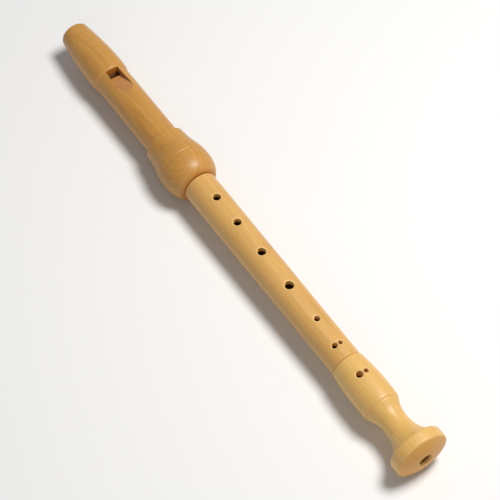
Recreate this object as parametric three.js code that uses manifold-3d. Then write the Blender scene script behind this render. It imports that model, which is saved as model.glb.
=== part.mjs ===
// A soprano recorder in three turned joints: head, middle and foot.
// It lies on its back, with the finger holes up and the thumb hole down.
//
// Units are millimetres. +X runs from the beak to the bell, +Y to the player's left and +Z up.
// The origin is under the middle of the instrument, on the surface that it lies on.
//
// The head joint holds the block, a cedar plug that forms the floor of the windway. Breath leaves
// the windway through the window and meets the sharp edge of the labium. Each end of the middle
// joint is a tenon with a ring of cork, which grips the socket that it slides into.

import * as THREE from "three";
import { mergeVertices } from "three/addons/utils/BufferGeometryUtils.js";
import Module from "manifold-3d";

const wasm = await Module();
wasm.setup();

// ---------------------------------------------------------------- driving dimensions

const SIDES = 48; // facets round each turned piece
const HOLE_SIDES = 20; // facets round each finger hole
const CURVE_STEPS = 4; // straight steps along each curved stretch of an outline
const OVERSHOOT = 2; // how far a cutter reaches past the face that it cuts

const TOTAL_LENGTH = 330;
const HEAD_LENGTH = 130;
const FOOT_LENGTH = 64.5;
const SHOULDER_GAP = 0.3; // between a socket's end and the shoulder that it closes on
const MIDDLE_LENGTH = TOTAL_LENGTH - HEAD_LENGTH - FOOT_LENGTH; // shoulder to shoulder

const BELL_RADIUS = 14.8; // also the radius of the swelling round the head's socket
const AXIS_HEIGHT = BELL_RADIUS * Math.cos(Math.PI / SIDES); // it lies on a facet of each

const head = {
  boreRadius: 6.8,
  tubeRadius: 9.85,
  beakWaist: 10.6, // radius where the beak section meets the tube
  tipRadius: 8.25,
  socketRadius: 8.45,
  socketDepth: 20.5,
};

const windway = {
  length: 41.2, // from the tip to the window
  floor: 4.6, // heights are above the bore's axis
  roof: 5.8,
  entryWidth: 9.6,
  exitWidth: 7.4,
};

const labium = {
  windowLength: 2.9,
  width: 7.7, // at the window
  rampWidth: 10, // at the far end of the ramp
  edge: 5.2, // height of the upper side of the sharp edge
  underside: 4.95,
  rampLength: 15.7,
};

const beakCut = { radius: 38, lipHeight: -2.4 }; // the hollow under the beak that the lip rests in

const block = { clearance: 0.1, radius: head.boreRadius - 0.1 };

const middle = { topRadius: 9.3, footRadius: 8.6, boreTop: 6.6, boreFoot: 5.2 };

const upperTenon = {
  length: 20,
  radius: 8.0,
  grooveRadius: 7.1,
  corkStart: 4, // distances are from the shoulder
  corkEnd: 16,
  corkRadius: 8.3,
};

const lowerTenon = {
  length: 9,
  radius: 6.95,
  grooveRadius: 6.2,
  corkStart: 2,
  corkEnd: 7.4,
  corkRadius: 7.25,
};

const CORK_CLEARANCE = 0.1; // round the inside and at each end of a ring of cork

const foot = {
  socketRadius: 7.4,
  socketDepth: 9.5,
  boreTop: 5.1,
  boreFoot: 3.4,
  mouthRadius: 4.1,
};

// Finger holes of the middle joint: x from the upper shoulder, y off the centre line.
const middleHoles = [
  { x: 17.0, y: 0, diameter: 4.3 },
  { x: 36.5, y: 0, diameter: 4.3 },
  { x: 59.0, y: 0, diameter: 4.6 },
  { x: 84.0, y: 0, diameter: 4.95 },
  { x: 108.3, y: 0, diameter: 3.1 },
  { x: 126.1, y: 1.7, diameter: 2.3 },
  { x: 126.1, y: -1.8, diameter: 3.0 },
];
const thumbHole = { x: 10.5, y: 0, diameter: 4.6 };

// The foot joint's pair of holes, x from its upper end.
const footHoles = [
  { x: 11.9, y: 2.1, diameter: 2.4 },
  { x: 11.9, y: -1.9, diameter: 3.6 },
];

// ---------------------------------------------------------------- shapes and solids

// A three.js geometry as a manifold solid.
function solid(geometry) {
  const plain = geometry.clone();
  plain.deleteAttribute("normal");
  plain.deleteAttribute("uv");
  const merged = mergeVertices(plain, 1e-4);
  return new wasm.Manifold(
    new wasm.Mesh({
      numProp: 3,
      vertProperties: merged.attributes.position.array,
      triVerts: new Uint32Array(merged.index.array),
    }),
  );
}

// A manifold solid as a three.js geometry.
function geometryOf(manifold) {
  const { vertProperties, triVerts } = manifold.getMesh();
  const geometry = new THREE.BufferGeometry();
  geometry.setAttribute("position", new THREE.BufferAttribute(vertProperties, 3));
  geometry.setIndex(new THREE.BufferAttribute(triVerts, 1));
  geometry.computeVertexNormals();
  return geometry;
}

// Turns a geometry made round the Y axis so that it is round the X axis, with a facet at the bottom.
function layAlongX(geometry) {
  geometry.rotateY(Math.PI / SIDES);
  geometry.rotateZ(-Math.PI / 2);
  return geometry;
}

// A turned piece. The outline is a path in (distance along the axis, radius).
function turned(outline) {
  const points = outline.getPoints(CURVE_STEPS).map((p) => new THREE.Vector2(p.y, p.x));
  return solid(layAlongX(new THREE.LatheGeometry(points, SIDES)));
}

// A cylinder or cone round the X axis, from x0 to x1.
function rod(x0, x1, r0, r1 = r0) {
  const outline = new THREE.Path();
  outline.moveTo(x0, 0);
  outline.lineTo(x0, r0);
  outline.lineTo(x1, r1);
  outline.lineTo(x1, 0);
  return turned(outline);
}

// A box between two corners.
function box(low, high) {
  const size = high.clone().sub(low);
  const geometry = new THREE.BoxGeometry(size.x, size.y, size.z);
  geometry.translate(...low.clone().add(high).multiplyScalar(0.5).toArray());
  return solid(geometry);
}

// A solid of constant section: an outline in (x, y) raised from z0 to z1.
function raised(outline, z0, z1) {
  const geometry = new THREE.ExtrudeGeometry(outline, { depth: z1 - z0, bevelEnabled: false });
  geometry.translate(0, 0, z0);
  return solid(geometry);
}

// A solid of constant section across the instrument: an outline in (x, z), centred on y = 0.
function across(outline, width) {
  const geometry = new THREE.ExtrudeGeometry(outline, { depth: width, bevelEnabled: false });
  geometry.translate(0, 0, -width / 2);
  geometry.rotateX(Math.PI / 2);
  return solid(geometry);
}

// The cutter for a finger hole, drilled straight up from the bore, or down for the thumb.
function drill({ x, y, diameter }, direction = 1) {
  const depth = BELL_RADIUS;
  const geometry = new THREE.CylinderGeometry(diameter / 2, diameter / 2, depth, HOLE_SIDES);
  geometry.rotateX(Math.PI / 2);
  geometry.translate(x, y, (direction * depth) / 2);
  return solid(geometry);
}

function withoutAll(body, cutters) {
  return cutters.reduce((left, cutter) => left.subtract(cutter), body);
}

// ---------------------------------------------------------------- head joint, from the beak's tip

const SOCKET_FLOOR = HEAD_LENGTH - head.socketDepth;
const WINDOW_END = windway.length + labium.windowLength;
const LABIUM_BACK = WINDOW_END + labium.rampLength;

// The hollow under the beak, a cylinder across the instrument.
function beakHollow() {
  const geometry = new THREE.CylinderGeometry(beakCut.radius, beakCut.radius, 3 * BELL_RADIUS, 96);
  geometry.translate(0, 0, beakCut.lipHeight - beakCut.radius);
  return solid(geometry);
}

function headOutline() {
  const outline = new THREE.Path();
  outline.moveTo(0, 0);
  outline.lineTo(0, head.tipRadius - 0.75);
  outline.lineTo(0.7, head.tipRadius);
  outline.quadraticCurveTo(14, 10.1, 30, 10.9);
  outline.quadraticCurveTo(36, 11.05, 39.2, head.beakWaist);
  outline.lineTo(40.9, head.tubeRadius);
  outline.lineTo(94.4, head.tubeRadius);
  outline.quadraticCurveTo(95.2, 10.9, 95.9, 10.1); // a fine bead against the collar
  outline.lineTo(96.2, 11.6);
  outline.lineTo(96.6, 11.95);
  outline.lineTo(101, 12.25);
  outline.bezierCurveTo(105, 12.7, 109, 14.5, 114.4, 14.75); // the swelling round the socket
  outline.lineTo(114.7, 14.55);
  outline.lineTo(115.1, 14.55);
  outline.lineTo(115.4, BELL_RADIUS);
  outline.lineTo(118, BELL_RADIUS);
  outline.absellipse(118, 0, 14.65, BELL_RADIUS, Math.PI / 2, 0.79, true);
  outline.quadraticCurveTo(HEAD_LENGTH - 0.2, 10.1, HEAD_LENGTH, 9.5);
  outline.lineTo(HEAD_LENGTH, 0);
  return outline;
}

// The windway, seen from above: it narrows a little from the tip to the window.
function windwaySlot() {
  const entry = windway.entryWidth / 2;
  const exit = windway.exitWidth / 2;
  const slot = new THREE.Shape();
  slot.moveTo(-OVERSHOOT, -entry);
  slot.lineTo(windway.length + 0.1, -exit);
  slot.lineTo(windway.length + 0.1, exit);
  slot.lineTo(-OVERSHOOT, entry);
  slot.closePath();
  return raised(slot, windway.floor, windway.roof);
}

// The window, and the sloping cut from the labium's edge up to the outside of the tube. The cut
// widens away from the window.
function windowAndRamp() {
  const rise = (head.tubeRadius - labium.edge) / labium.rampLength;
  const reach = labium.rampLength + 3 * OVERSHOOT;
  const top = labium.edge + rise * reach;
  const cut = new THREE.Shape();
  cut.moveTo(windway.length, 0);
  cut.lineTo(WINDOW_END, 0);
  cut.lineTo(WINDOW_END, labium.edge);
  cut.lineTo(WINDOW_END + reach, top);
  cut.lineTo(windway.length, top);
  cut.closePath();
  const near = labium.width / 2;
  const flare = (labium.rampWidth - labium.width) / 2 / labium.rampLength;
  const end = WINDOW_END + reach + OVERSHOOT;
  const far = near + flare * (end - WINDOW_END);
  const plan = new THREE.Shape();
  plan.moveTo(windway.length - OVERSHOOT, -near);
  plan.lineTo(WINDOW_END, -near);
  plan.lineTo(end, -far);
  plan.lineTo(end, far);
  plan.lineTo(WINDOW_END, near);
  plan.lineTo(windway.length - OVERSHOOT, near);
  plan.closePath();
  return across(cut, 2 * BELL_RADIUS).intersect(raised(plan, -OVERSHOOT, 2 * BELL_RADIUS));
}

// The bore, with a flat ceiling over the block and a slightly higher one under the labium.
function headBore() {
  const step = windway.length - block.clearance;
  const ceiling = (height, x0, x1) =>
    box(
      new THREE.Vector3(x0, -BELL_RADIUS, height),
      new THREE.Vector3(x1, BELL_RADIUS, BELL_RADIUS),
    );
  return withoutAll(rod(-OVERSHOOT, SOCKET_FLOOR + OVERSHOOT, head.boreRadius), [
    ceiling(windway.floor + block.clearance, -2 * OVERSHOOT, step),
    ceiling(labium.underside, step - OVERSHOOT, LABIUM_BACK),
  ]);
}

function headJoint() {
  return withoutAll(turned(headOutline()), [
    headBore(),
    rod(SOCKET_FLOOR, HEAD_LENGTH + OVERSHOOT, head.socketRadius),
    windwaySlot(),
    windowAndRamp(),
    beakHollow(),
  ]);
}

// The block fills the bore under the windway, and follows the hollow under the beak.
function fippleBlock() {
  const plug = rod(block.clearance, windway.length - block.clearance, block.radius);
  const above = box(
    new THREE.Vector3(-OVERSHOOT, -BELL_RADIUS, windway.floor),
    new THREE.Vector3(windway.length, BELL_RADIUS, BELL_RADIUS),
  );
  return withoutAll(plug, [above, beakHollow()]);
}

// ---------------------------------------------------------------- middle joint, from its upper shoulder

const LOWER_SHOULDER = MIDDLE_LENGTH - 2 * SHOULDER_GAP;

// One tenon's outline from its shoulder outwards, with the groove that its cork lies in.
function tenonSteps(shoulder, direction, tenon) {
  const at = (distance) => shoulder + direction * distance;
  return [
    [at(0), tenon.radius],
    [at(tenon.corkStart), tenon.radius],
    [at(tenon.corkStart), tenon.grooveRadius],
    [at(tenon.corkEnd), tenon.grooveRadius],
    [at(tenon.corkEnd), tenon.radius],
    [at(tenon.length - 0.5), tenon.radius],
    [at(tenon.length), tenon.radius - 0.5],
  ];
}

function middleJoint() {
  const outline = new THREE.Path();
  const start = -upperTenon.length;
  const end = LOWER_SHOULDER + lowerTenon.length;
  outline.moveTo(start, middle.boreTop);
  for (const [x, r] of tenonSteps(0, -1, upperTenon).reverse()) outline.lineTo(x, r);
  outline.lineTo(0, middle.topRadius - 0.3);
  outline.lineTo(0.3, middle.topRadius);
  outline.lineTo(LOWER_SHOULDER - 0.3, middle.footRadius);
  outline.lineTo(LOWER_SHOULDER, middle.footRadius - 0.3);
  for (const [x, r] of tenonSteps(LOWER_SHOULDER, 1, lowerTenon)) outline.lineTo(x, r);
  outline.lineTo(end, middle.boreFoot);
  outline.lineTo(start, middle.boreTop);
  const holes = middleHoles.map((hole) => drill(hole));
  return withoutAll(turned(outline), [...holes, drill(thumbHole, -1)]);
}

// The ring of cork on a tenon.
function corkRing(shoulder, direction, tenon) {
  const ends = [tenon.corkStart + CORK_CLEARANCE, tenon.corkEnd - CORK_CLEARANCE];
  const [x0, x1] = ends.map((d) => shoulder + direction * d).sort((a, b) => a - b);
  const inner = tenon.grooveRadius + CORK_CLEARANCE;
  return rod(x0, x1, tenon.corkRadius).subtract(rod(x0 - 1, x1 + 1, inner));
}

// ---------------------------------------------------------------- foot joint, from its upper end

function footJoint() {
  const outline = new THREE.Path();
  outline.moveTo(0, foot.socketRadius + 0.3);
  outline.lineTo(0, 8.6);
  outline.lineTo(0.5, 9.05);
  outline.bezierCurveTo(8, 9.95, 14, 10.3, 19.5, 10.3); // the barrel
  outline.quadraticCurveTo(25.5, 10.3, 29.1, 9.83);
  outline.lineTo(29.55, 9.36); // the step turned round it
  outline.bezierCurveTo(31.7, 8.95, 33.4, 6.95, 39.7, 6.78); // down to the waist
  outline.bezierCurveTo(45.5, 6.65, 50.3, 7.9, 54.7, 12.9); // out to the bell
  outline.lineTo(54.8, 13.7);
  outline.quadraticCurveTo(55.2, BELL_RADIUS, 56.6, BELL_RADIUS); // the band round it
  outline.lineTo(60.8, BELL_RADIUS);
  outline.quadraticCurveTo(61.75, 14.7, 62.1, 13.7);
  outline.quadraticCurveTo(64.1, 9.6, 64.45, 4.6); // the domed end
  outline.lineTo(FOOT_LENGTH, foot.mouthRadius);
  outline.lineTo(FOOT_LENGTH - 1.3, foot.boreFoot);
  outline.lineTo(foot.socketDepth, foot.boreTop);
  outline.lineTo(foot.socketDepth, foot.socketRadius);
  outline.lineTo(0.3, foot.socketRadius);
  outline.lineTo(0, foot.socketRadius + 0.3);
  return withoutAll(turned(outline), footHoles.map((hole) => drill(hole)));
}

// ---------------------------------------------------------------- materials and assembly

function wood(color, roughness) {
  return new THREE.MeshStandardMaterial({ color, roughness, metalness: 0 });
}

const materials = {
  maple: wood(0xd9a862, 0.38),
  cedar: wood(0xb5763f, 0.7),
  cork: wood(0xc79a68, 0.9),
};

const recorder = new THREE.Group();
recorder.position.z = AXIS_HEIGHT;

// A joint of the instrument, as a group whose own origin is at distance x from the beak's tip.
function joint(x) {
  const group = new THREE.Group();
  group.position.x = x - TOTAL_LENGTH / 2;
  recorder.add(group);
  return group;
}

function addPiece(group, name, manifold, material) {
  const mesh = new THREE.Mesh(geometryOf(manifold), material);
  mesh.name = name;
  group.add(mesh);
}

const headGroup = joint(0);
addPiece(headGroup, "head_joint", headJoint(), materials.maple);
addPiece(headGroup, "block", fippleBlock(), materials.cedar);

const middleGroup = joint(HEAD_LENGTH + SHOULDER_GAP);
addPiece(middleGroup, "middle_joint", middleJoint(), materials.maple);
addPiece(middleGroup, "upper_tenon_cork", corkRing(0, -1, upperTenon), materials.cork);
addPiece(middleGroup, "lower_tenon_cork", corkRing(LOWER_SHOULDER, 1, lowerTenon), materials.cork);

const footGroup = joint(TOTAL_LENGTH - FOOT_LENGTH);
addPiece(footGroup, "foot_joint", footJoint(), materials.maple);

export default recorder;
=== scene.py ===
"""A wooden soprano recorder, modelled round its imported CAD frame.

Every piece is turned about the X axis from a half section, then drilled and cut. Shapes are
worked out in millimetres and become metres when a mesh is made. The head, middle and foot joints
are lacquered maple, the block is cedar, and a ring of cork sits on each tenon.
"""

import bisect
import math

import bmesh
import bpy
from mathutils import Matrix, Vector


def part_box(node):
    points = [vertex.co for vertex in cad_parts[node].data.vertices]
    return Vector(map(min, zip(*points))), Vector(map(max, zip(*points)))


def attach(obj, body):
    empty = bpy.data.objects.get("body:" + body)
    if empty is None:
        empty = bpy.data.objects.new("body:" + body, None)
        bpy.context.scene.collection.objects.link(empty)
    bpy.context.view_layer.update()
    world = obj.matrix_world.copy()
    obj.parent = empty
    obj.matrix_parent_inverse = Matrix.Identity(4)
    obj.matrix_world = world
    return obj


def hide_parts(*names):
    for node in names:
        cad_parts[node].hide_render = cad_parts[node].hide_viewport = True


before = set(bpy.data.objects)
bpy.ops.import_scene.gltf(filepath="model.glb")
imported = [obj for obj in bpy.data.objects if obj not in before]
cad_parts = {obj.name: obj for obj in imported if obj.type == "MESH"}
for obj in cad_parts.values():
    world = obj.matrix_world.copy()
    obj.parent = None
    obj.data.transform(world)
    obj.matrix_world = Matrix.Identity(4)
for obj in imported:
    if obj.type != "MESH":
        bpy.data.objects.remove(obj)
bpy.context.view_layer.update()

# ------------------------------------------------------------------ sizes, in millimetres

MM = 0.001
TURN_SIDES = 180  # facets round each turned piece
HOLE_SIDES = 56  # facets round each finger hole
LONGEST_STEP = 2.5  # between two points of an outline
SHARP_ANGLE = math.radians(32)  # edges sharper than this stay crisp
OVERSHOOT = 3.0  # how far a cutter reaches past the wood
OVERLAP = 0.1  # how far a cut that ends in another cut, or at the wood's end, runs on past it

AXIS_HEIGHT = sum(corner.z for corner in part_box("foot_joint")) / 2 / MM
HEAD_START, HEAD_END = (corner.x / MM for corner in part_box("head_joint"))
FOOT_START, FOOT_END = (corner.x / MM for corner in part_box("foot_joint"))
MIDDLE_START, MIDDLE_END = (corner.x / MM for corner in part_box("middle_joint"))
BELL_RADIUS = AXIS_HEIGHT

HEAD_LENGTH = HEAD_END - HEAD_START
FOOT_LENGTH = FOOT_END - FOOT_START
BORE = 6.8  # radius of the head's bore
TUBE = 9.85  # radius of the head's tube outside
SOCKET, SOCKET_DEPTH = 8.45, 20.5  # radius and depth of the head's socket

WINDWAY_LENGTH = 41.2  # from the beak's tip to the window
WINDWAY_FLOOR, WINDWAY_ROOF = 4.6, 5.8  # heights above the bore's axis
WINDWAY_ENTRY, WINDWAY_EXIT = 9.6, 7.4  # widths
WINDOW_LENGTH = 2.9
LABIUM_WIDTH, RAMP_WIDTH = 7.7, 10.0  # at the window, and at the far end of the ramp
LABIUM_EDGE, LABIUM_UNDERSIDE = 5.2, 4.95  # heights above the bore's axis
RAMP_LENGTH = 15.7
LIP_CUT_RADIUS = 38.0  # of the hollow under the beak
LIP_CUT_SIDES = 240  # facets of the cylinder that cuts it in the block
LIP_HEIGHT = -2.4  # of the hollow at the beak's tip
LIP_EDGE = 1.1  # how far from the hollow's edge its rounding starts
BLOCK_CLEARANCE = 0.1

UPPER_TENON, LOWER_TENON = 20.0, 9.0  # lengths
UPPER_TENON_RADIUS, LOWER_TENON_RADIUS = 8.0, 6.95
UPPER_GROOVE, LOWER_GROOVE = 7.1, 6.2  # radii under the rings of cork
UPPER_CORK, LOWER_CORK = (4, 16), (2, 7.4)  # each groove's stretch, from the shoulder
CORK_GAP = 0.02  # between a ring of cork and its groove
UPPER_SHOULDER = MIDDLE_START + UPPER_TENON
LOWER_SHOULDER = MIDDLE_END - LOWER_TENON
MIDDLE_TOP, MIDDLE_FOOT = 9.3, 8.6  # outer radii at the shoulders
MIDDLE_BORE_TOP, MIDDLE_BORE_FOOT = 6.6, 5.2  # radii of the tapering bore
FOOT_SOCKET, FOOT_SOCKET_DEPTH = 7.4, 9.5
FOOT_BORE_TOP, FOOT_BORE_END = 5.1, 3.42
CHAMFER = 0.35  # on shoulders and round the sockets' mouths
TENON_CHAMFER = 0.5

HOLE_EDGE = 0.62  # rounding round a finger hole's mouth
MOUTH_TURN = math.radians(76)  # how far that rounding turns

# Finger holes: distance from the upper shoulder, distance off the centre line, diameter.
MIDDLE_HOLES = [
    (17.0, 0.0, 4.3),
    (36.5, 0.0, 4.3),
    (59.0, 0.0, 4.6),
    (84.0, 0.0, 4.95),
    (108.3, 0.0, 3.1),
    (126.1, 1.7, 2.3),
    (126.1, -1.8, 3.0),
]
THUMB_HOLE = (10.5, 0.0, 4.6)
FOOT_HOLES = [(11.9, 2.1, 2.4), (11.9, -1.9, 3.6)]  # distance from the foot joint's upper end


# ------------------------------------------------------------------ outlines


class Outline:
    """Half of a turned piece's section: points (x along the axis, radius)."""

    def __init__(self, x, radius):
        self.points = [Vector((x, radius))]

    def line(self, *corners):
        """Straight stretches through the given corners."""
        self.points += [Vector(corner) for corner in corners]
        return self

    def curve(self, pull_out, pull_in, end, steps=14):
        """A cubic Bezier stretch to end."""
        a, b, c, d = self.points[-1].copy(), Vector(pull_out), Vector(pull_in), Vector(end)
        for i in range(1, steps + 1):
            t = i / steps
            s = 1 - t
            self.points.append(a * s**3 + b * 3 * s * s * t + c * 3 * s * t * t + d * t**3)
        return self

    def at(self, start):
        """The outline moved along the axis so that its x = 0 lies at start."""
        self.points = [Vector((point.x + start, point.y)) for point in self.points]
        return self


def soften(points, radius, closed, sharpest=math.radians(14)):
    """Rounds every corner of an outline by the given radius, or as much as its sides leave."""
    count = len(points)
    smooth = []
    for i, here in enumerate(points):
        if not closed and i in (0, count - 1):
            smooth.append(here)
            continue
        back = points[i - 1] - here
        ahead = points[(i + 1) % count] - here
        turn = math.pi - back.angle(ahead)
        if turn < sharpest:
            smooth.append(here)
            continue
        reach = min(radius * math.tan(turn / 2), 0.45 * back.length, 0.45 * ahead.length)
        start, end = here + back.normalized() * reach, here + ahead.normalized() * reach
        steps = max(2, round(turn / math.radians(18)))
        for k in range(steps + 1):
            t = k / steps
            smooth.append(start * (1 - t) ** 2 + here * 2 * t * (1 - t) + end * t * t)
    return smooth


def subdivide(points, closed):
    """Splits the long stretches of an outline, so that its faces stay compact."""
    fine = []
    ends = points[1:] + points[:1] if closed else points[1:]
    for start, end in zip(points, ends):
        pieces = max(1, math.ceil((end - start).length / LONGEST_STEP))
        fine += [start.lerp(end, k / pieces) for k in range(pieces)]
    return fine if closed else fine + [points[-1]]


# ------------------------------------------------------------------ meshes


def new_object(name, vertices, faces, material):
    """An object from points in millimetres about the instrument's axis."""
    mesh = bpy.data.meshes.new(name)
    lifted = [(x * MM, y * MM, (z + AXIS_HEIGHT) * MM) for x, y, z in vertices]
    mesh.from_pydata(lifted, [], faces)
    mesh.materials.append(material)
    piece = bpy.data.objects.new(name, mesh)
    bpy.context.scene.collection.objects.link(piece)
    return piece


def skin(rings, closed=False):
    """Vertices and faces of a surface through rings. A ring of one point closes an end."""
    vertices, faces, starts = [], [], []
    for ring in rings:
        starts.append(len(vertices))
        vertices += ring
    pairs = list(zip(range(len(rings)), range(1, len(rings))))
    if closed:
        pairs.append((len(rings) - 1, 0))
    for i, j in pairs:
        a, b = starts[i], starts[j]
        count = max(len(rings[i]), len(rings[j]))
        for k in range(count):
            n = (k + 1) % count
            if len(rings[i]) == 1:
                faces.append((a, b + n, b + k))
            elif len(rings[j]) == 1:
                faces.append((a + k, a + n, b))
            else:
                faces.append((a + k, a + n, b + n, b + k))
    return vertices, faces


def turned(name, outline, material, closed=False, edge=0.2, carve=None):
    """A solid of revolution about the instrument's axis.

    edge is the rounding of its corners. carve(x, radius, angle), if given, says what is left of
    the radius at an angle from the top.
    """
    points = subdivide(soften(outline.points, edge, closed), closed)
    rings = []
    for x, radius in points:
        if radius < 1e-6:
            rings.append([(x, 0.0, 0.0)])
            continue
        ring = []
        for k in range(TURN_SIDES):
            angle = 2 * math.pi * k / TURN_SIDES
            reach = carve(x, radius, angle) if carve else radius
            ring.append((x, reach * math.sin(angle), reach * math.cos(angle)))
        rings.append(ring)
    return new_object(name, *skin(rings, closed), material)


def prism(name, outline, along, low, high, material):
    """A solid with a constant section, from low to high in the direction along.

    outline holds pairs of the other two coordinates.
    """
    place = {
        "y": lambda pair, depth: (pair[0], depth, pair[1]),
        "z": lambda pair, depth: (pair[0], pair[1], depth),
    }[along]
    count = len(outline)
    vertices = [place(pair, depth) for depth in (low, high) for pair in outline]
    sides = [(k, (k + 1) % count, count + (k + 1) % count, count + k) for k in range(count)]
    caps = [tuple(reversed(range(count))), tuple(range(count, 2 * count))]
    return new_object(name, vertices, sides + caps, material)


def radius_at(outline):
    """A function from x to the outer radius of a turned piece."""
    outer = []
    for point in outline.points:
        if outer and point.x <= outer[-1].x:
            break
        outer.append(point)
    xs = [point.x for point in outer]

    def radius(x):
        i = min(max(bisect.bisect(xs, x), 1), len(xs) - 1)
        share = (x - xs[i - 1]) / (xs[i] - xs[i - 1])
        return outer[i - 1].y + share * (outer[i].y - outer[i - 1].y)

    return radius


def drill(x, y, diameter, surface, material, side=1):
    """A cutter for a finger hole, whose rounded mouth follows the outside of the tube."""
    bore = diameter / 2
    profile = [(bore, None)]  # distance from the hole's axis, depth below the tube's outside
    steps = 5
    for k in range(steps + 1):
        angle = MOUTH_TURN * k / steps
        spread, depth = 1 - math.cos(angle), 1 - math.sin(angle)
        profile.append((bore + HOLE_EDGE * spread, HOLE_EDGE * depth))
    rim, rim_depth = profile[-1]
    skirt = 0.5  # how far the mouth's slope goes on above the tube
    slope = math.tan(math.pi / 2 - MOUTH_TURN)
    profile.append((rim + skirt, rim_depth - skirt * slope))
    profile.append((rim + skirt, -OVERSHOOT))
    rings = [[(x, y, 0.0)]]
    for reach, depth in profile:
        ring = []
        for k in range(HOLE_SIDES):
            angle = 2 * math.pi * k / HOLE_SIDES
            px, py = x + reach * math.cos(angle), y + reach * math.sin(angle)
            top = 0.0 if depth is None else math.sqrt(surface(px) ** 2 - py**2) - depth
            ring.append((px, py, side * top))
        rings.append(ring)
    rings.append([(x, y, side * (surface(x) + 2 * OVERSHOOT))])
    return new_object("hole", *skin(rings), material)


def face_outwards(mesh):
    """Turns every face of a closed mesh to face out."""
    work = bmesh.new()
    work.from_mesh(mesh)
    bmesh.ops.remove_doubles(work, verts=work.verts, dist=1e-7)
    bmesh.ops.recalc_face_normals(work, faces=work.faces)
    work.to_mesh(mesh)
    work.free()


def split_faces(mesh):
    """Splits every face into triangles, so that a cut through a bent face stays clean."""
    work = bmesh.new()
    work.from_mesh(mesh)
    bmesh.ops.triangulate(work, faces=work.faces)
    work.to_mesh(mesh)
    work.free()


def bake_modifiers(piece):
    """Applies a piece's modifiers to its mesh."""
    depsgraph = bpy.context.evaluated_depsgraph_get()
    result = bpy.data.meshes.new_from_object(piece.evaluated_get(depsgraph))
    piece.modifiers.clear()
    piece.data = result


def combine(piece, others, operation="DIFFERENCE"):
    """Cuts the others out of a piece, or keeps what it shares with them, and removes them."""
    for body in [piece, *others]:
        face_outwards(body.data)
    for other in others:
        modifier = piece.modifiers.new("cut", "BOOLEAN")
        modifier.operation = operation
        modifier.solver = "EXACT"
        modifier.material_mode = "TRANSFER"
        modifier.object = other
    bake_modifiers(piece)
    for other in others:
        bpy.data.objects.remove(other)
    return piece


def refinish(piece, material, chosen):
    """Gives a material to the lacquered faces that chosen(x, outward) picks.

    x is in millimetres along the instrument. outward is 1 where a face looks away from the axis and
    -1 where it looks towards it.
    """
    mesh = piece.data
    mesh.materials.append(material)
    for face in mesh.polygons:
        spoke = Vector((0, face.center.y, face.center.z - AXIS_HEIGHT * MM)).normalized()
        if face.material_index == 0 and chosen(face.center.x / MM, face.normal.dot(spoke)):
            face.material_index = len(mesh.materials) - 1


def finish_piece(piece, body, node):
    """Smooths a piece and gives it its place in the frame."""
    face_outwards(piece.data)
    piece.data.shade_smooth()
    piece.data.set_sharp_from_angle(angle=SHARP_ANGLE)
    weighted = piece.modifiers.new("normals", "WEIGHTED_NORMAL")
    weighted.keep_sharp = True
    weighted.weight = 80
    bake_modifiers(piece)
    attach(piece, body)
    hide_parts(node)
    return piece


# ------------------------------------------------------------------ materials


class Shader:
    """Builds one material's nodes."""

    def __init__(self, name):
        self.material = bpy.data.materials.new(name)
        self.material.use_nodes = True
        self.tree = self.material.node_tree
        self.surface = self.tree.nodes["Principled BSDF"]

    def add(self, kind, inputs=None, **settings):
        """Adds a node. An input is a value or another node's output."""
        node = self.tree.nodes.new("ShaderNode" + kind)
        for name, value in settings.items():
            setattr(node, name, value)
        for name, value in (inputs or {}).items():
            self.feed(node, name, value)
        return node

    def feed(self, node, name, value):
        socket = node.inputs[name]
        if isinstance(value, bpy.types.NodeSocket):
            self.tree.links.new(value, socket)
        else:
            socket.default_value = value

    def math(self, operation, a, b=0.0):
        return self.add("Math", {0: a, 1: b}, operation=operation).outputs[0]

    def place(self, scale, offset=(0, 0, 0)):
        """The piece's own coordinates, scaled from millimetres."""
        coordinates = self.add("TexCoord").outputs["Object"]
        per_metre = tuple(value / MM for value in scale)
        inputs = {"Vector": coordinates, "Scale": per_metre, "Location": offset}
        return self.add("Mapping", inputs).outputs[0]

    def noise(self, vector, detail=2.0, roughness=0.5):
        inputs = {"Vector": vector, "Scale": 1.0, "Detail": detail, "Roughness": roughness}
        return self.add("TexNoise", inputs).outputs["Fac"]

    def ramp(self, value, *stops):
        """A ramp through (place, colour or grey) stops."""
        node = self.add("ValToRGB", {"Fac": value})
        elements = node.color_ramp.elements
        while len(elements) < len(stops):
            elements.new(0.5)
        for element, (where, tone) in zip(elements, stops):
            element.position = where
            element.color = (*tone, 1) if isinstance(tone, tuple) else (tone, tone, tone, 1)
        return node.outputs["Color"]

    def blend(self, share, a, b):
        """Colour a with a share of colour b. The node's colours are its sockets 6 and 7."""
        node = self.add("Mix", data_type="RGBA", blend_type="MIX")
        for index, value in ((0, share), (6, a), (7, b)):
            self.feed(node, index, (*value, 1) if isinstance(value, tuple) else value)
        return node.outputs[2]

    def bump(self, height, strength, distance_mm):
        inputs = {"Height": height, "Strength": strength, "Distance": distance_mm * MM}
        self.feed(self.surface, "Normal", self.add("Bump", inputs).outputs[0])

    def constant(self, **sockets):
        """Sets values on the surface's own sockets, named with underscores for spaces."""
        for name, value in sockets.items():
            self.surface.inputs[name.replace("_", " ")].default_value = value


def end_grain(shader):
    """1 where the surface faces along the instrument, which is across the fibres."""
    normal = shader.add("TexCoord").outputs["Normal"]
    along = shader.add("SeparateXYZ", {0: normal}).outputs["X"]
    return shader.math("ABSOLUTE", along)


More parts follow.
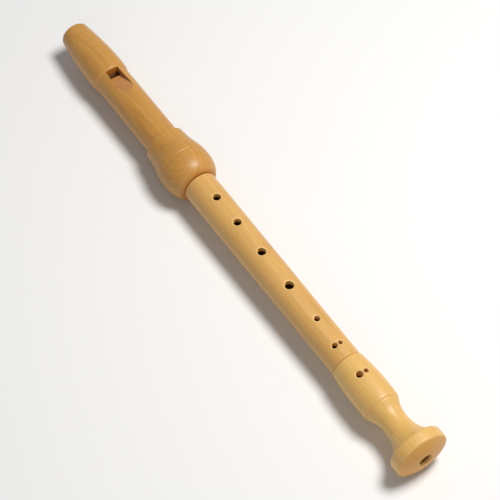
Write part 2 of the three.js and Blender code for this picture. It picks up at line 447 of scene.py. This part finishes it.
def growth_rings(shader, pith):
    """Noise that changes with the distance from the pith, which sways and drifts along the log."""
    sway = shader.noise(shader.place((0.012, 0.05, 0.05)), 1.0)
    position = shader.add("SeparateXYZ", {0: shader.place((1, 1, 1))})
    across = shader.math("SUBTRACT", position.outputs["Y"], pith[0])
    up = shader.math("SUBTRACT", position.outputs["Z"], pith[1])
    squares = shader.math("ADD", shader.math("POWER", across, 2.0), shader.math("POWER", up, 2.0))
    distance = shader.math("ADD", shader.math("SQRT", squares), shader.math("MULTIPLY", sway, 9.0))
    drift = shader.math("MULTIPLY", position.outputs["X"], 0.012)
    ring = shader.add("CombineXYZ", {0: shader.math("ADD", distance, drift)})
    inputs = {0: ring.outputs[0], 1: (0.75, 0, 0)}
    narrow = shader.add("VectorMath", inputs, operation="MULTIPLY")
    return shader.noise(narrow.outputs[0], 3.0, 0.62)


def wood(name, light, dark, pith, lacquer, roughness=0.43, contrast=1.0):
    """Straight-grained wood with its fibres along X. light and dark are its tones."""
    shader = Shader(name)
    rings = growth_rings(shader, pith)
    fibres = shader.noise(shader.place((0.035, 2.4, 2.4)), 4.0, 0.6)
    patches = shader.noise(shader.place((0.018, 0.11, 0.11), (3, 1, 7)), 2.0)
    specks = shader.noise(shader.place((0.32, 3.4, 3.4)), 1.0)
    flecks = shader.ramp(specks, (0.60, 0.0), (0.72, 1.0))

    tone = shader.math("MULTIPLY", rings, 0.5)
    tone = shader.math("ADD", tone, shader.math("MULTIPLY", fibres, 0.3))
    tone = shader.math("ADD", tone, shader.math("MULTIPLY", patches, 0.2))
    low, high = 0.5 - 0.16 / contrast, 0.5 + 0.12 / contrast
    colour = shader.ramp(tone, (low, dark), (high, light))
    fleck_tone = tuple(0.72 * value for value in dark)
    colour = shader.blend(shader.math("MULTIPLY", flecks, 0.32), colour, fleck_tone)
    ends = shader.ramp(end_grain(shader), (0.72, 0.0), (0.96, 1.0))
    end_grain_and_shade_tone = (1.12 * dark[0], 0.86 * dark[1], 0.25 * dark[2])  # deeper and more orange as end grain is, and darker still as painted shade on the bell's face
    colour = shader.blend(shader.math("MULTIPLY", ends, 0.8), colour, end_grain_and_shade_tone)
    shader.feed(shader.surface, "Base Color", colour)

    gloss = shader.math("MULTIPLY", shader.math("SUBTRACT", fibres, 0.5), 0.25)
    shader.feed(shader.surface, "Roughness", shader.math("ADD", gloss, roughness))
    shader.constant(Coat_Weight=lacquer, Coat_Roughness=0.33, Specular_IOR_Level=0.35)
    shader.bump(shader.math("ADD", fibres, shader.math("MULTIPLY", flecks, -0.4)), 0.25, 0.06)
    return shader.material


def cork(name):
    """Pressed cork with dark pores."""
    shader = Shader(name)
    cells = shader.noise(shader.place((1.4, 1.4, 1.4)), 4.0, 0.65)
    specks = shader.noise(shader.place((1.1, 2.2, 2.2), (5, 2, 9)), 2.0)
    pores = shader.ramp(specks, (0.60, 0.0), (0.68, 1.0))
    colour = shader.ramp(cells, (0.35, (0.36, 0.19, 0.085)), (0.65, (0.62, 0.40, 0.21)))
    colour = shader.blend(shader.math("MULTIPLY", pores, 0.7), colour, (0.12, 0.055, 0.025))
    shader.feed(shader.surface, "Base Color", colour)
    shader.constant(Roughness=0.85, Specular_IOR_Level=0.25)
    shader.bump(shader.math("SUBTRACT", cells, pores), 0.5, 0.12)
    return shader.material


def floor_material():
    shader = Shader("floor")
    shader.constant(Base_Color=(0.86, 0.86, 0.86, 1), Roughness=0.6, Specular_IOR_Level=0.2)
    return shader.material


# The middle of the log that each piece was cut from, as (y, z) in millimetres.
HEAD_PITH = (34.0, -22.0)
BODY_PITH = (-30.0, -26.0)
FOOT_PITH = (27.0, 24.0)
CEDAR_PITH = (18.0, 12.0)

# The head's maple, and the ramp cut into it, are toned darker than the middle's as painted shade.
head_wood = wood("head_wood", (0.64, 0.33, 0.08), (0.44, 0.195, 0.036), HEAD_PITH, 0.22)
shaded_ramp_wood = wood("shaded_ramp_wood", (0.60, 0.29, 0.10), (0.44, 0.19, 0.055), HEAD_PITH, 0.1, 0.5)
body_wood = wood("body_wood", (0.76, 0.445, 0.145), (0.56, 0.29, 0.070), BODY_PITH, 0.2, contrast=0.85)
tenon_wood = wood("tenon_wood", (0.78, 0.50, 0.20), (0.60, 0.34, 0.11), BODY_PITH, 0.0, 0.55)
# The foot's maple is toned lighter than the middle's as painted light.
foot_wood = wood("foot_wood", (0.84, 0.53, 0.175), (0.64, 0.36, 0.090), FOOT_PITH, 0.2, contrast=0.78)
hole_wood = wood("hole_wood", (0.90, 0.62, 0.27), (0.66, 0.39, 0.13), FOOT_PITH, 0.0, 0.6)
# The inside of the bore, windway and sockets is toned dark as painted shade.
shaded_bore_wood = wood("shaded_bore_wood", (0.46, 0.22, 0.060), (0.30, 0.13, 0.030), FOOT_PITH, 0.1, 0.5)
cedar = wood("cedar", (0.52, 0.22, 0.09), (0.30, 0.105, 0.04), CEDAR_PITH, 0.0, 0.7, contrast=1.4)
cork_material = cork("cork")


# ------------------------------------------------------------------ head joint


def lip_cut():
    """A cutter for the block's share of the hollow, a cylinder across the instrument."""
    centre = LIP_HEIGHT - LIP_CUT_RADIUS
    circle = []
    for k in range(LIP_CUT_SIDES):
        angle = 2 * math.pi * k / LIP_CUT_SIDES
        x = HEAD_START + LIP_CUT_RADIUS * math.cos(angle)
        circle.append((x, centre + LIP_CUT_RADIUS * math.sin(angle)))
    return prism("lip_cut", circle, "y", -2 * BELL_RADIUS, 2 * BELL_RADIUS, cedar)


def beak_radius(x, radius, angle):
    """What the hollow under the beak leaves of the head's radius, with its edges rounded."""
    along, down = x - HEAD_START, -math.cos(angle)
    if down <= 0 or along >= LIP_CUT_RADIUS:
        return radius
    depth = LIP_CUT_RADIUS - LIP_HEIGHT - math.sqrt(LIP_CUT_RADIUS**2 - along**2)
    hollow = depth / down
    overlap = max(LIP_EDGE - abs(radius - hollow), 0) / LIP_EDGE
    return min(radius, hollow) - overlap**2 * LIP_EDGE / 4


def head_outline():
    """The head's outside: beak, tube, collar and the swelling round the socket."""
    outline = Outline(0, 0)
    outline.line((0, 7.5))
    outline.curve((0.05, 8.0), (0.3, 8.2), (0.9, 8.3), 5)
    outline.curve((10, 9.6), (21, 10.55), (29, 10.85), 56)
    outline.curve((34, 11.0), (37.5, 10.95), (40.0, 10.45), 8)
    outline.line((40.75, TUBE), (94.3, TUBE))
    outline.curve((94.5, 10.5), (95.4, 10.6), (95.8, 10.1), 6)
    outline.line((96.1, 10.1), (96.15, 11.85), (101, 12.25))
    outline.curve((105.5, 12.65), (109, 14.2), (113.9, 14.62))
    outline.curve((114.2, 14.66), (114.4, 14.5), (114.6, 14.45), 4)
    outline.line((115.0, 14.45))
    outline.curve((115.1, 14.5), (115.2, 14.75), (115.6, BELL_RADIUS), 4)
    outline.line((118, BELL_RADIUS))
    outline.curve((124.5, BELL_RADIUS), (128.6, 12.4), (129.6, 10.4))
    outline.line((HEAD_LENGTH, 9.6), (HEAD_LENGTH, 0))
    return outline.at(HEAD_START)


def bore_cutter():
    """The head's bore and socket, with a flat ceiling over the block and under the labium."""
    floor = HEAD_LENGTH - SOCKET_DEPTH
    outline = Outline(-OVERSHOOT, 0)
    mouth = SOCKET + CHAMFER + OVERLAP
    outline.line((-OVERSHOOT, BORE), (floor, BORE), (floor, SOCKET))
    outline.line((HEAD_LENGTH - CHAMFER, SOCKET), (HEAD_LENGTH + OVERLAP, mouth))
    outline.line((HEAD_LENGTH + OVERSHOOT, mouth), (HEAD_LENGTH + OVERSHOOT, 0))
    # The cutters carry the dark bore wood, a painted shade, onto the faces they leave.
    bore = turned("bore", outline.at(HEAD_START), shaded_bore_wood, edge=0.05)
    step = WINDWAY_LENGTH - BLOCK_CLEARANCE
    ceilings = [
        (WINDWAY_FLOOR + BLOCK_CLEARANCE, -2 * OVERSHOOT, step),
        (LABIUM_UNDERSIDE, step - OVERSHOOT, WINDWAY_LENGTH + WINDOW_LENGTH + RAMP_LENGTH),
    ]
    blocks = []
    for height, low, high in ceilings:
        section = [(HEAD_START + low, height), (HEAD_START + high, height)]
        section += [(HEAD_START + high, 2 * BORE), (HEAD_START + low, 2 * BORE)]
        blocks.append(prism("ceiling", section, "y", -2 * BORE, 2 * BORE, shaded_bore_wood))
    return combine(bore, blocks)


def windway_cutter():
    """The slot that the breath goes through. It narrows from the tip to the window."""
    end = HEAD_START + WINDWAY_LENGTH + OVERLAP
    entry = WINDWAY_ENTRY / 2
    flare = [(-OVERSHOOT, entry + 0.5), (0.0, entry + 0.25), (1.2, entry)]
    upper = [(HEAD_START + x, y) for x, y in flare] + [(end, WINDWAY_EXIT / 2)]
    lower = [(x, -y) for x, y in reversed(upper)]
    return prism("windway", lower + upper, "z", WINDWAY_FLOOR, WINDWAY_ROOF, shaded_bore_wood)


def window_cutter():
    """The window, and the slope up from the labium's edge, which widens away from the window."""
    start = HEAD_START + WINDWAY_LENGTH
    edge = start + WINDOW_LENGTH
    rise = (TUBE - LABIUM_EDGE) / RAMP_LENGTH
    reach = RAMP_LENGTH + 2 * OVERSHOOT
    top = LABIUM_EDGE + rise * reach
    section = [(start, 0), (edge, 0), (edge, LABIUM_EDGE), (edge + reach, top), (start, top)]
    slope = prism("window", section, "y", -BELL_RADIUS, BELL_RADIUS, shaded_ramp_wood)
    end = edge + reach + OVERSHOOT
    near = LABIUM_WIDTH / 2
    far = near + (RAMP_WIDTH - LABIUM_WIDTH) / 2 * (end - edge) / RAMP_LENGTH
    left = [(start - OVERSHOOT, near), (edge, near), (end, far)]
    right = [(x, -y) for x, y in reversed(left)]
    plan = prism("plan", left + right, "z", -OVERSHOOT, 2 * BELL_RADIUS, shaded_ramp_wood)
    return combine(slope, [plan], "INTERSECT")


def make_head():
    body = turned("head_wood", head_outline(), head_wood, carve=beak_radius)
    face_outwards(body.data)
    split_faces(body.data)
    combine(body, [bore_cutter(), windway_cutter(), window_cutter()])
    return finish_piece(body, "head", "head_joint")


def make_block():
    """The cedar block, under the windway and flush with the hollow under the beak."""
    length = WINDWAY_LENGTH - 2 * BLOCK_CLEARANCE
    radius = BORE - BLOCK_CLEARANCE
    outline = Outline(0, 0).line((0, radius), (length, radius), (length, 0))
    plug = turned("cedar_block", outline.at(HEAD_START + BLOCK_CLEARANCE), cedar)
    low, high = HEAD_START - OVERSHOOT, HEAD_START + WINDWAY_LENGTH + OVERSHOOT
    section = [(low, WINDWAY_FLOOR), (high, WINDWAY_FLOOR), (high, 2 * BORE), (low, 2 * BORE)]
    above = prism("above", section, "y", -2 * BORE, 2 * BORE, cedar)
    combine(plug, [above, lip_cut()])
    return finish_piece(plug, "block", "block")


# ------------------------------------------------------------------ middle joint


def tenon(shoulder, direction, length, radius, groove, cork_stretch):
    """A tenon's outline from its shoulder outwards, with the groove that its cork lies in."""
    start, end = cork_stretch
    steps = [(0, radius), (start, radius), (start, groove), (end, groove), (end, radius)]
    steps += [(length - TENON_CHAMFER, radius), (length, radius - TENON_CHAMFER)]
    return [(shoulder + direction * distance, r) for distance, r in steps]


def make_middle():
    upper = tenon(UPPER_SHOULDER, -1, UPPER_TENON, UPPER_TENON_RADIUS, UPPER_GROOVE, UPPER_CORK)
    lower = tenon(LOWER_SHOULDER, 1, LOWER_TENON, LOWER_TENON_RADIUS, LOWER_GROOVE, LOWER_CORK)
    outline = Outline(MIDDLE_START, MIDDLE_BORE_TOP).line(*reversed(upper))
    outline.line((UPPER_SHOULDER, MIDDLE_TOP - CHAMFER), (UPPER_SHOULDER + CHAMFER, MIDDLE_TOP))
    outline.line((LOWER_SHOULDER - CHAMFER, MIDDLE_FOOT), (LOWER_SHOULDER, MIDDLE_FOOT - CHAMFER))
    outline.line(*lower, (MIDDLE_END, MIDDLE_BORE_FOOT))
    barrel = Outline(UPPER_SHOULDER, MIDDLE_TOP).line((LOWER_SHOULDER, MIDDLE_FOOT))
    surface = radius_at(barrel)
    body = turned("middle_wood", outline, body_wood, closed=True)
    cutters = [drill(UPPER_SHOULDER + x, y, d, surface, hole_wood) for x, y, d in MIDDLE_HOLES]
    x, y, d = THUMB_HOLE
    cutters.append(drill(UPPER_SHOULDER + x, y, d, surface, hole_wood, side=-1))
    combine(body, cutters)
    refinish(body, tenon_wood, lambda x, outward: not UPPER_SHOULDER <= x <= LOWER_SHOULDER)
    # Faces inside the bore take the dark bore wood, a painted shade.
    refinish(body, shaded_bore_wood, lambda x, outward: outward < -0.5)
    return finish_piece(body, "middle", "middle_joint")


def make_cork(name, node, body, groove):
    """A ring of cork, a little worn at its ends."""
    low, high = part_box(node)
    start, end = low.x / MM, high.x / MM
    inner = groove + CORK_GAP
    outer = (high.y - low.y) / 2 / MM
    worn = outer - 0.25
    middle = (start + end) / 2
    outline = Outline(start, inner).line((start, worn))
    outline.curve((start + 0.5, outer), (start + 1.2, outer), (middle, outer), 6)
    outline.curve((end - 1.2, outer), (end - 0.5, outer), (end, worn), 6)
    outline.line((end, inner))
    ring = turned(name, outline, cork_material, closed=True, edge=0.3)
    return finish_piece(ring, body, node)


# ------------------------------------------------------------------ foot joint


def foot_outline():
    """The foot's outside: barrel, step, waist, flare and the band round the bell."""
    outline = Outline(0, 8.75)
    outline.line((0.35, 9.08))
    outline.curve((8, 9.95), (14, 10.3), (19.5, 10.3))
    outline.curve((23.5, 10.3), (26.5, 10.2), (28.5, 9.95), 10)
    outline.curve((29.0, 9.87), (29.4, 9.7), (29.55, 9.36), 6)
    outline.curve((31.7, 8.95), (33.4, 6.95), (39.7, 6.78), 20)
    outline.curve((45.5, 6.65), (50.3, 7.9), (54.7, 12.9), 20)
    outline.line((54.8, 13.7))
    outline.curve((55.1, 14.35), (55.7, BELL_RADIUS), (56.6, BELL_RADIUS), 8)
    outline.line((60.8, BELL_RADIUS))
    return outline


def make_foot():
    outline = foot_outline()
    surface = radius_at(foot_outline().at(FOOT_START))
    outline.curve((61.4, BELL_RADIUS), (61.85, 14.4), (62.1, 13.7), 8)
    outline.curve((62.95, 11.8), (64.1, 8.4), (64.42, 4.6), 14)
    outline.line((FOOT_LENGTH, 4.25))
    outline.curve((64.35, 3.85), (63.8, 3.5), (63.0, FOOT_BORE_END), 6)
    outline.line((FOOT_SOCKET_DEPTH, FOOT_BORE_TOP), (FOOT_SOCKET_DEPTH, FOOT_SOCKET))
    outline.line((CHAMFER, FOOT_SOCKET), (0, FOOT_SOCKET + CHAMFER))
    body = turned("foot_wood", outline.at(FOOT_START), foot_wood, closed=True)
    cutters = [drill(FOOT_START + x, y, d, surface, hole_wood) for x, y, d in FOOT_HOLES]
    combine(body, cutters)
    # Faces inside the bore take the dark bore wood, a painted shade.
    refinish(body, shaded_bore_wood, lambda x, outward: outward < -0.5 and x < FOOT_END - 2)
    return finish_piece(body, "foot", "foot_joint")


# ------------------------------------------------------------------ stage


def make_floor():
    reach = 4.0  # metres from the middle to each side
    corners = [(-reach, -reach, 0), (reach, -reach, 0), (reach, reach, 0), (-reach, reach, 0)]
    mesh = bpy.data.meshes.new("floor")
    mesh.from_pydata(corners, [], [(0, 1, 2, 3)])
    mesh.materials.append(floor_material())
    floor = bpy.data.objects.new("floor", mesh)
    bpy.context.scene.collection.objects.link(floor)


def aim(thing, target):
    """Points a camera or light at a target."""
    direction = Vector(target) - thing.location
    thing.rotation_euler = direction.to_track_quat("-Z", "Y").to_euler()


def make_light(name, place, size, power, tint):
    """A round area light, in metres and watts, aimed at the instrument."""
    data = bpy.data.lights.new(name, "AREA")
    data.shape = "DISK"
    data.size = size
    data.energy = power
    data.color = tint
    light = bpy.data.objects.new(name, data)
    light.location = place
    bpy.context.scene.collection.objects.link(light)
    aim(light, (0, 0, 0))


def make_camera(azimuth, elevation, distance, target):
    """A camera that looks at target. Azimuth 0 looks along +Y."""
    data = bpy.data.cameras.new("camera")
    data.lens = 128
    camera = bpy.data.objects.new("camera", data)
    side, height = math.radians(azimuth), math.radians(elevation)
    back = Vector((
        math.sin(side) * math.cos(height),
        -math.cos(side) * math.cos(height),
        math.sin(height),
    ))
    camera.location = Vector(target) + back * distance
    bpy.context.scene.collection.objects.link(camera)
    aim(camera, target)
    bpy.context.scene.camera = camera


def make_stage():
    make_floor()
    make_light("key", (0.13, 0.33, 0.93), 0.35, 9.2, (1.0, 0.985, 0.96))
    make_light("fill", (0.7, -0.6, 0.6), 0.8, 0.9, (1.0, 0.95, 0.88))
    world = bpy.data.worlds.new("world")
    world.use_nodes = True
    background = world.node_tree.nodes["Background"]
    background.inputs["Color"].default_value = (0.95, 0.97, 1.0, 1)
    background.inputs["Strength"].default_value = 0.23
    bpy.context.scene.world = world
    bpy.context.scene.view_settings.view_transform = "Standard"


make_camera(56, 55, 0.93, (0.0135, 0, 0.012))
make_head()
make_block()
make_middle()
make_cork("upper_cork", "upper_tenon_cork", "upper_cork", UPPER_GROOVE)
make_cork("lower_cork", "lower_tenon_cork", "lower_cork", LOWER_GROOVE)
make_foot()
make_stage()
